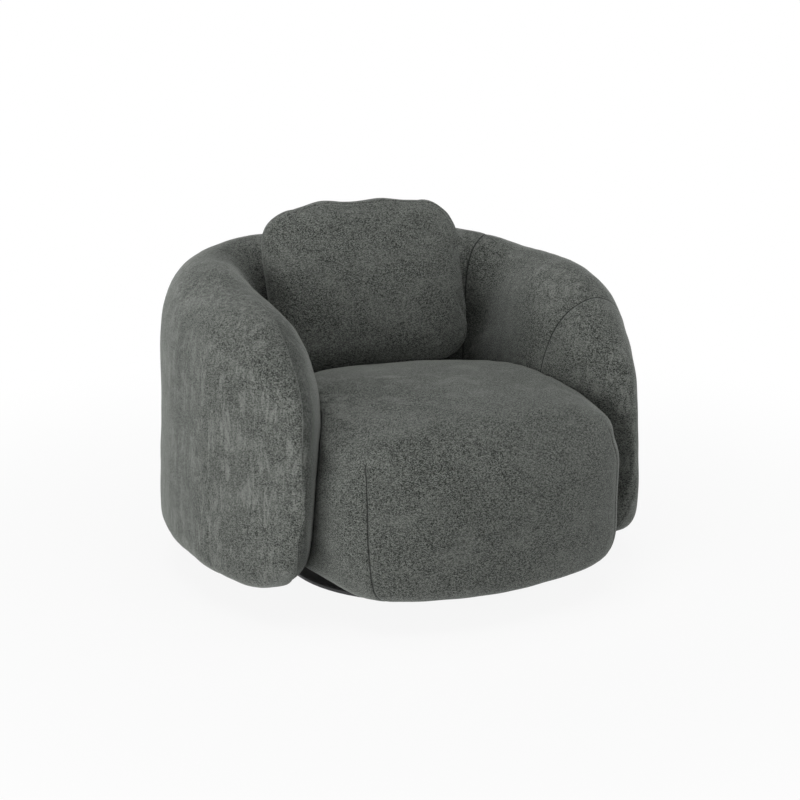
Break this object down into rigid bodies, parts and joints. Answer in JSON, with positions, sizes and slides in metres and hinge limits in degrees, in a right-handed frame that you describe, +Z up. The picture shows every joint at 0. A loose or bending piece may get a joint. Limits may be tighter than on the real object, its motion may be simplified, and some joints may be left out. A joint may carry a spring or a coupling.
{
  "type": "swivel chair",
  "caption": "Swivel tub chair: upholstered wrap-around back and arms, bulging seat, loose back cushion, low round base with a ball-bearing swivel.",
  "frame": {"origin": "on the floor, on the swivel's axis, under the middle of the chair's bounding box", "axes": "+X to the sitter's left, -Y the way the chair faces, +Z up along the swivel's axis"},
  "size_m": [1.1028, 0.9798, 0.8108],
  "materials": {
    "base_steel": "black powder coat",
    "glide_felt": "felt",
    "bearing_steel": "zinc plated",
    "ball_steel": "polished",
    "cage_nylon": "moulded",
    "fastener_steel": "zinc plated",
    "plate_steel": "black powder coat",
    "plywood": "raw plywood",
    "lining": "thin non-woven lining",
    "timber": "sawn timber",
    "spring_steel": "spring wire",
    "upholstery": "short mottled pile, grey-green"
  },
  "bodies": {
    "base": {"base_plate": "base_steel", "glide_1": "glide_felt", "glide_2": "glide_felt", "glide_3": "glide_felt", "glide_4": "glide_felt", "glide_5": "glide_felt", "glide_6": "glide_felt", "bearing_lower_ring": "bearing_steel", "pivot_bolt": "fastener_steel", "pivot_washer": "fastener_steel", "pivot_nut": "fastener_steel"},
    "ball_ring": {"ball_cage": "cage_nylon", "ball_1": "ball_steel", "ball_2": "ball_steel", "ball_3": "ball_steel", "ball_4": "ball_steel", "ball_5": "ball_steel", "ball_6": "ball_steel", "ball_7": "ball_steel", "ball_8": "ball_steel"},
    "seat": {"bearing_upper_ring": "bearing_steel", "swivel_bolt_1": "fastener_steel", "swivel_bolt_2": "fastener_steel", "swivel_bolt_3": "fastener_steel", "swivel_bolt_4": "fastener_steel", "swivel_plate": "plate_steel", "swivel_board": "plywood", "bottom_board": "plywood", "dust_cover": "lining", "front_rail": "timber", "rear_rail": "timber", "left_rail": "timber", "right_rail": "timber", "back_top_rail": "timber", "left_arm_rail": "timber", "right_arm_rail": "timber", "left_arm_post": "timber", "right_arm_post": "timber", "left_corner_post": "timber", "right_corner_post": "timber", "left_back_post": "timber", "right_back_post": "timber", "seat_spring_1": "spring_steel", "seat_spring_2": "spring_steel", "seat_spring_3": "spring_steel", "seat_spring_4": "spring_steel", "seat_spring_5": "spring_steel", "left_arm": "upholstery", "left_corner": "upholstery", "wall_back": "upholstery", "right_corner": "upholstery", "right_arm": "upholstery", "seat_cushion": "upholstery", "seat_front_pad": "upholstery", "seat_left_pad": "upholstery", "seat_right_pad": "upholstery"},
    "back_cushion": {"back_cushion": "upholstery"}
  },
  "joints": [
    {"name": "swivel", "type": "hinge", "parent": "base", "child": "seat", "pos_m": [0, 0, 0.0225], "axis": [0, 0, 1], "continuous": true},
    {"name": "ball_ring_turn", "type": "hinge", "parent": "base", "child": "ball_ring", "pos_m": [0, 0, 0.0225], "axis": [0, 0, 1], "continuous": true},
    {"name": "back_cushion_lift", "type": "slide", "parent": "seat", "child": "back_cushion", "axis": [0, -0.6, 0.8], "range_m": [0, 0.35]}
  ],
  "couplings": [
    {"joint": "ball_ring_turn", "follows": "swivel", "ratio": 0.5}
  ]
}
